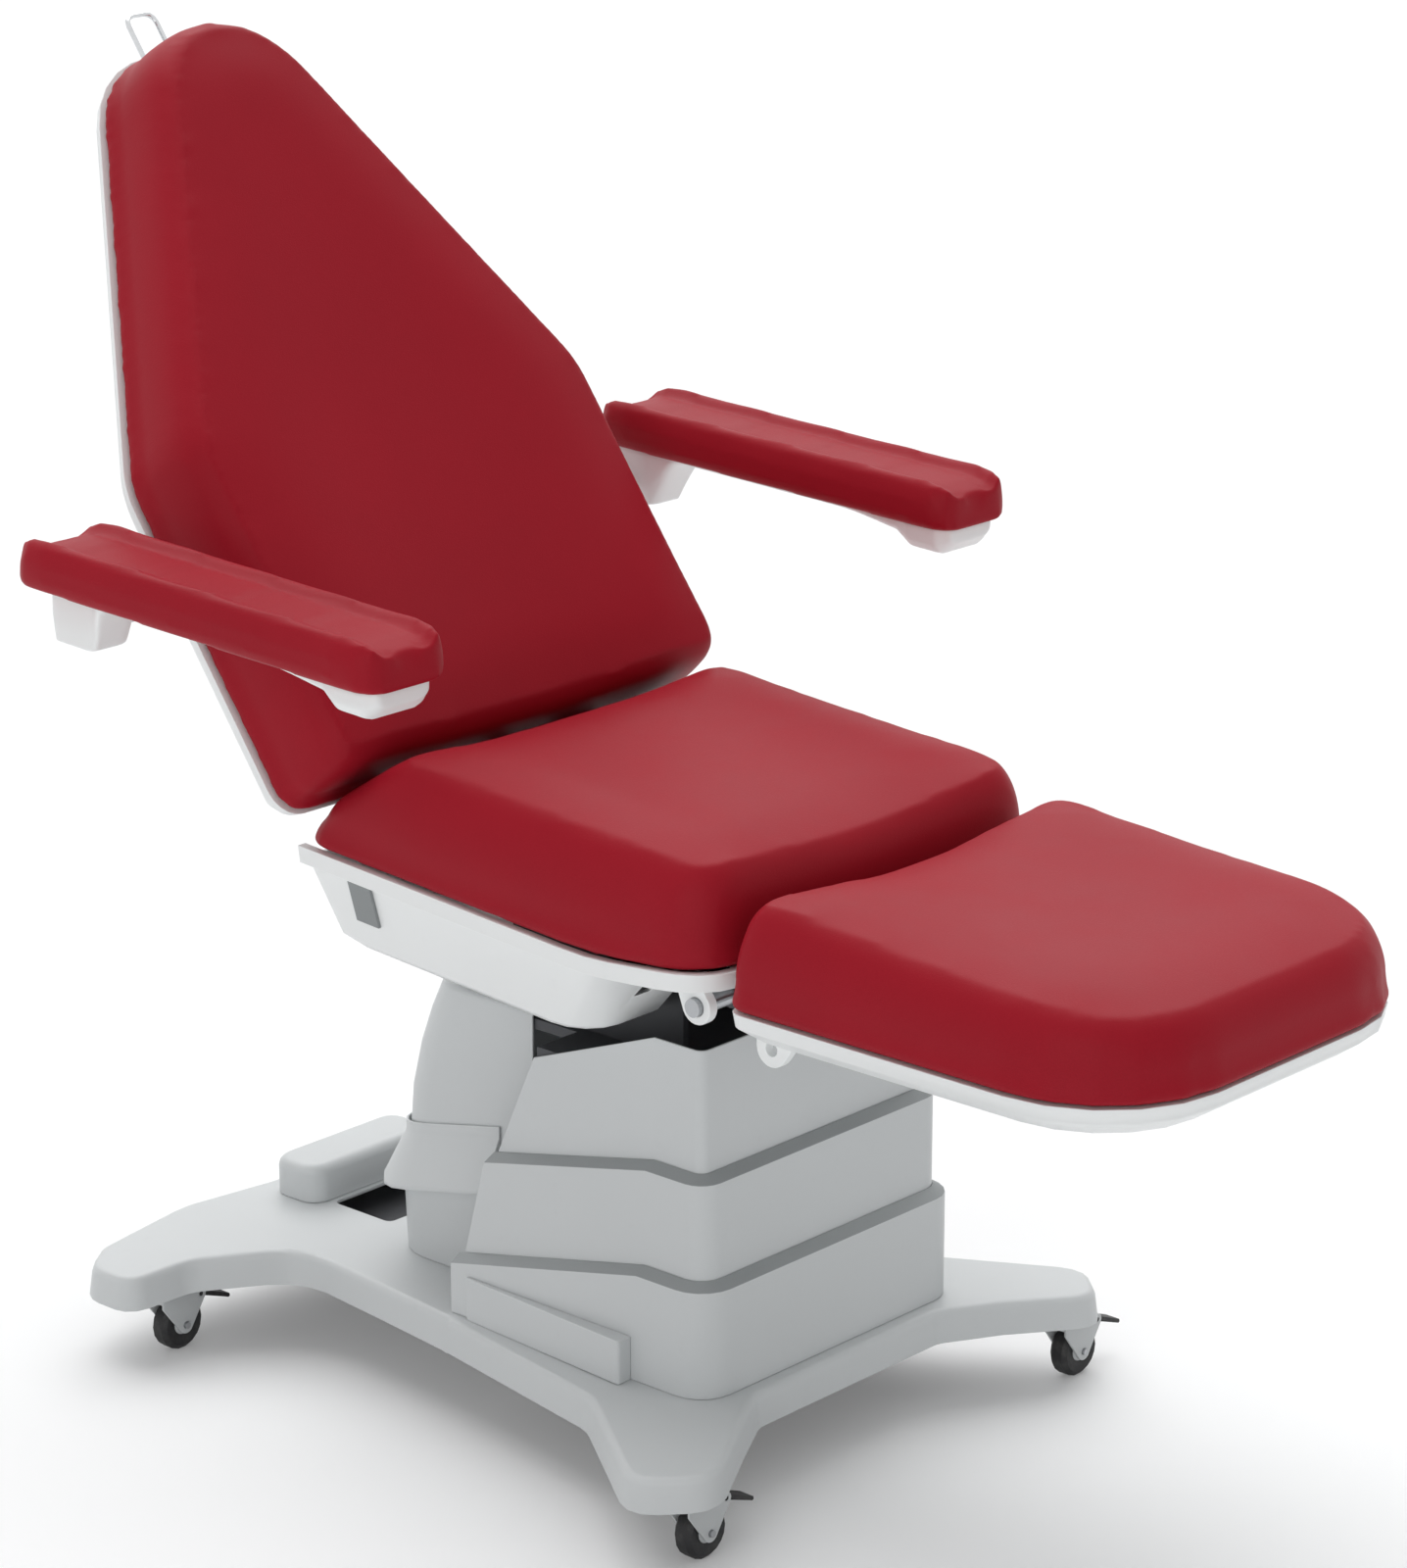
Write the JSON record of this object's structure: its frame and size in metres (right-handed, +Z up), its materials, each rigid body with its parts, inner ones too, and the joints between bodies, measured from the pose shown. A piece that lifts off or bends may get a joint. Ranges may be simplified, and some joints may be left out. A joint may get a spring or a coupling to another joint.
{
  "type": "blood donor chair",
  "caption": "Motorised blood donor chair: padded seat, tapered reclining back, folding legrest and tilting armrests on a telescoping pedestal with braked castors.",
  "frame": {"origin": "on the floor under the middle of the bounding box in plan", "axes": "+Z up, the donor faces -Y, the donor's left is +X"},
  "size_m": [1.03, 1.7064, 1.4799],
  "materials": {
    "red_vinyl": "satin grained vinyl",
    "white_plastic": "satin moulded",
    "grey_plastic": "satin",
    "dark_plastic": "matt",
    "black_rubber": "matt",
    "dark_steel": "powder coated",
    "steel": "drawn",
    "chrome": "polished"
  },
  "bodies": {
    "base": {"base_cover": "white_plastic", "base_frame": "dark_steel", "lower_cover": "white_plastic", "side_panel_right": "grey_plastic", "side_panel_left": "grey_plastic", "rear_lower_cover": "white_plastic", "control_box": "white_plastic", "column_outer": "steel"},
    "middle_stage": {"column_middle": "steel", "middle_cover": "white_plastic"},
    "lift_stage": {"column_inner": "steel", "seat_carrier": "dark_steel", "upper_cover": "white_plastic", "rear_upper_cover": "white_plastic", "seat_frame": "dark_steel", "seat_shell": "white_plastic", "seat_cushion": "red_vinyl", "side_socket_right": "grey_plastic", "side_socket_left": "grey_plastic", "back_hinge_shaft": "steel", "leg_hinge_shaft": "steel", "back_actuator": "dark_plastic", "leg_actuator": "dark_plastic"},
    "back_rod": {"back_actuator_rod": "chrome"},
    "leg_rod": {"leg_actuator_rod": "chrome"},
    "backrest": {"backrest_frame": "dark_steel", "backrest_shell": "white_plastic", "backrest_cushion": "red_vinyl", "top_loop": "chrome", "arm_shaft_right": "steel", "arm_shaft_left": "steel"},
    "armrest_right": {"arm_carrier_right": "white_plastic", "arm_pad_right": "red_vinyl"},
    "armrest_left": {"arm_carrier_left": "white_plastic", "arm_pad_left": "red_vinyl"},
    "legrest": {"legrest_frame": "dark_steel", "legrest_shell": "white_plastic", "legrest_cushion": "red_vinyl", "legrest_bumper_right": "grey_plastic", "legrest_bumper_left": "grey_plastic"},
    "castor_front_right": {"fork_front_right": "grey_plastic", "axle_front_right": "steel"},
    "castor_wheel_front_right": {"wheel_front_right": "black_rubber"},
    "brake_pedal_front_right": {"pedal_front_right": "black_rubber"},
    "castor_front_left": {"fork_front_left": "grey_plastic", "axle_front_left": "steel"},
    "castor_wheel_front_left": {"wheel_front_left": "black_rubber"},
    "brake_pedal_front_left": {"pedal_front_left": "black_rubber"},
    "castor_rear_right": {"fork_rear_right": "grey_plastic", "axle_rear_right": "steel"},
    "castor_wheel_rear_right": {"wheel_rear_right": "black_rubber"},
    "brake_pedal_rear_right": {"pedal_rear_right": "black_rubber"},
    "castor_rear_left": {"fork_rear_left": "grey_plastic", "axle_rear_left": "steel"},
    "castor_wheel_rear_left": {"wheel_rear_left": "black_rubber"},
    "brake_pedal_rear_left": {"pedal_rear_left": "black_rubber"}
  },
  "joints": [
    {"name": "lift", "type": "slide", "parent": "base", "child": "lift_stage", "axis": [0, 0, 1], "range_m": [-0.18, 0]},
    {"name": "middle_lift", "type": "slide", "parent": "base", "child": "middle_stage", "axis": [0, 0, 1], "range_m": [-0.09, 0]},
    {"name": "back_recline", "type": "hinge", "parent": "lift_stage", "child": "backrest", "pos_m": [0, 0.26691, 0.655], "axis": [1, 0, 0], "range_deg": [-64, 0]},
    {"name": "leg_lower", "type": "hinge", "parent": "lift_stage", "child": "legrest", "pos_m": [0, -0.28909, 0.59], "axis": [1, 0, 0], "range_deg": [-4, 80]},
    {"name": "back_rod_slide", "type": "slide", "parent": "lift_stage", "child": "back_rod", "axis": [0, 1, 0], "range_m": [-0.06784, 0]},
    {"name": "leg_rod_slide", "type": "slide", "parent": "lift_stage", "child": "leg_rod", "axis": [0, 1, 0], "range_m": [-0.00345, 0.05993]},
    {"name": "arm_tilt_right", "type": "hinge", "parent": "backrest", "child": "armrest_right", "pos_m": [-0.45, 0.43339, 0.90116], "axis": [1, 0, 0], "range_deg": [-30, 75]},
    {"name": "arm_tilt_left", "type": "hinge", "parent": "backrest", "child": "armrest_left", "pos_m": [0.45, 0.43339, 0.90116], "axis": [1, 0, 0], "range_deg": [-30, 75]},
    {"name": "swivel_front_right", "type": "hinge", "parent": "base", "child": "castor_front_right", "pos_m": [-0.316, -0.32909, 0], "axis": [0, 0, 1], "continuous": true},
    {"name": "roll_front_right", "type": "hinge", "parent": "castor_front_right", "child": "castor_wheel_front_right", "pos_m": [-0.294, -0.32909, 0.031], "axis": [0, 1, 0], "continuous": true},
    {"name": "brake_front_right", "type": "hinge", "parent": "castor_front_right", "child": "brake_pedal_front_right", "pos_m": [-0.27, -0.32909, 0.0625], "axis": [0, 1, 0], "range_deg": [0, 12]},
    {"name": "swivel_front_left", "type": "hinge", "parent": "base", "child": "castor_front_left", "pos_m": [0.316, -0.32909, 0], "axis": [0, 0, 1], "continuous": true},
    {"name": "roll_front_left", "type": "hinge", "parent": "castor_front_left", "child": "castor_wheel_front_left", "pos_m": [0.338, -0.32909, 0.031], "axis": [0, 1, 0], "continuous": true},
    {"name": "brake_front_left", "type": "hinge", "parent": "castor_front_left", "child": "brake_pedal_front_left", "pos_m": [0.362, -0.32909, 0.0625], "axis": [0, 1, 0], "range_deg": [0, 12]},
    {"name": "swivel_rear_right", "type": "hinge", "parent": "base", "child": "castor_rear_right", "pos_m": [-0.316, 0.48291, 0], "axis": [0, 0, 1], "continuous": true},
    {"name": "roll_rear_right", "type": "hinge", "parent": "castor_rear_right", "child": "castor_wheel_rear_right", "pos_m": [-0.294, 0.48291, 0.031], "axis": [0, 1, 0], "continuous": true},
    {"name": "brake_rear_right", "type": "hinge", "parent": "castor_rear_right", "child": "brake_pedal_rear_right", "pos_m": [-0.27, 0.48291, 0.0625], "axis": [0, 1, 0], "range_deg": [0, 12]},
    {"name": "swivel_rear_left", "type": "hinge", "parent": "base", "child": "castor_rear_left", "pos_m": [0.316, 0.48291, 0], "axis": [0, 0, 1], "continuous": true},
    {"name": "roll_rear_left", "type": "hinge", "parent": "castor_rear_left", "child": "castor_wheel_rear_left", "pos_m": [0.338, 0.48291, 0.031], "axis": [0, 1, 0], "continuous": true},
    {"name": "brake_rear_left", "type": "hinge", "parent": "castor_rear_left", "child": "brake_pedal_rear_left", "pos_m": [0.362, 0.48291, 0.0625], "axis": [0, 1, 0], "range_deg": [0, 12]}
  ],
  "couplings": [
    {"joint": "middle_lift", "follows": "lift", "ratio": 0.5},
    {"joint": "back_rod_slide", "follows": "back_recline", "m_per_rad": 0.05984},
    {"joint": "leg_rod_slide", "follows": "leg_lower", "m_per_rad": 0.04221}
  ]
}
